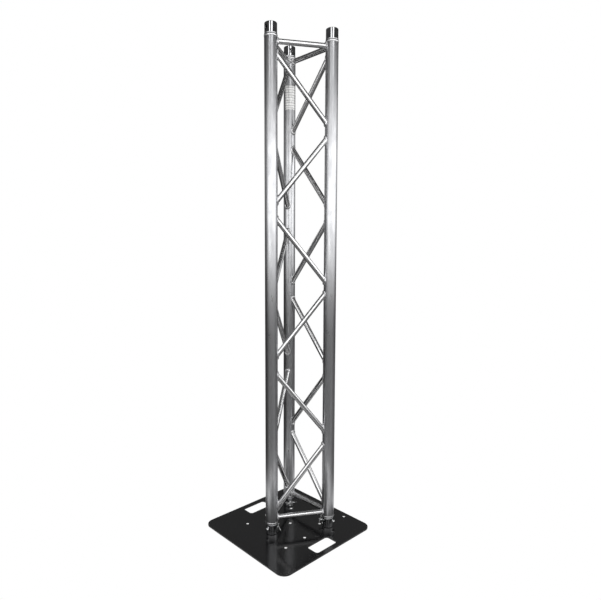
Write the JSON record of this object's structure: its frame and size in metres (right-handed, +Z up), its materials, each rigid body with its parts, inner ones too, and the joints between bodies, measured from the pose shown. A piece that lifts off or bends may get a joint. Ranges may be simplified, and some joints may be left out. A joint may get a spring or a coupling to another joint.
{
  "type": "triangular lighting truss section",
  "caption": "Triangular aluminium ladder-laced truss length with conical pinned end sockets, standing on a flat square steel base plate with hand slots.",
  "frame": {"origin": "centre of the base plate's underside", "axes": "+Z up along the chords; the lone chord a is on -X, chords b (-Y) and c (+Y) are on +X; plate edges along X and Y"},
  "size_m": [0.5, 0.5, 2.0065],
  "materials": {
    "powder_coat": "satin black powder coat",
    "chord_aluminium": "extruded, lightly brushed",
    "brace_aluminium": "extruded, bright",
    "machined_aluminium": "turned, bright",
    "zinc_steel": "zinc plated",
    "label": "blank paper label under film"
  },
  "bodies": {
    "truss_and_base": {"base_plate": "powder_coat", "base_adapter_a": "machined_aluminium", "adapter_bolt_a": "zinc_steel", "chord_tube_a": "chord_aluminium", "receiver_bottom_a": "machined_aluminium", "receiver_top_a": "machined_aluminium", "base_adapter_b": "machined_aluminium", "adapter_bolt_b": "zinc_steel", "chord_tube_b": "chord_aluminium", "receiver_bottom_b": "machined_aluminium", "receiver_top_b": "machined_aluminium", "base_adapter_c": "machined_aluminium", "adapter_bolt_c": "zinc_steel", "chord_tube_c": "chord_aluminium", "receiver_bottom_c": "machined_aluminium", "receiver_top_c": "machined_aluminium", "end_brace_bottom_ab": "brace_aluminium", "end_brace_top_ab": "brace_aluminium", "diagonal_ab_1": "brace_aluminium", "diagonal_ab_2": "brace_aluminium", "diagonal_ab_3": "brace_aluminium", "diagonal_ab_4": "brace_aluminium", "diagonal_ab_5": "brace_aluminium", "diagonal_ab_6": "brace_aluminium", "end_brace_bottom_bc": "brace_aluminium", "end_brace_top_bc": "brace_aluminium", "diagonal_bc_1": "brace_aluminium", "diagonal_bc_2": "brace_aluminium", "diagonal_bc_3": "brace_aluminium", "diagonal_bc_4": "brace_aluminium", "diagonal_bc_5": "brace_aluminium", "diagonal_bc_6": "brace_aluminium", "end_brace_bottom_ca": "brace_aluminium", "end_brace_top_ca": "brace_aluminium", "diagonal_ca_1": "brace_aluminium", "diagonal_ca_2": "brace_aluminium", "diagonal_ca_3": "brace_aluminium", "diagonal_ca_4": "brace_aluminium", "diagonal_ca_5": "brace_aluminium", "diagonal_ca_6": "brace_aluminium", "label_band": "label"},
    "pin_a": {"taper_pin_a": "zinc_steel"},
    "pin_b": {"taper_pin_b": "zinc_steel"},
    "pin_c": {"taper_pin_c": "zinc_steel"},
    "clip_a": {"r_clip_a": "zinc_steel"},
    "clip_b": {"r_clip_b": "zinc_steel"},
    "clip_c": {"r_clip_c": "zinc_steel"}
  },
  "joints": [
    {"name": "pin_slide_a", "type": "slide", "parent": "truss_and_base", "child": "pin_a", "axis": [-1, 0, 0], "range_m": [0, 0.006]},
    {"name": "clip_pull_a", "type": "slide", "parent": "pin_a", "child": "clip_a", "axis": [0, 0.7071, 0.7071], "range_m": [0, 0.034], "deforming": ["r_clip_a"]},
    {"name": "pin_slide_b", "type": "slide", "parent": "truss_and_base", "child": "pin_b", "axis": [0.5, -0.866, 0], "range_m": [0, 0.006]},
    {"name": "clip_pull_b", "type": "slide", "parent": "pin_b", "child": "clip_b", "axis": [0.8138, 0.4698, 0.342], "range_m": [0, 0.034], "deforming": ["r_clip_b"]},
    {"name": "pin_slide_c", "type": "slide", "parent": "truss_and_base", "child": "pin_c", "axis": [0.5, 0.866, 0], "range_m": [0, 0.006]},
    {"name": "clip_pull_c", "type": "slide", "parent": "pin_c", "child": "clip_c", "axis": [-0.8613, 0.4973, -0.1045], "range_m": [0, 0.034], "deforming": ["r_clip_c"]}
  ]
}
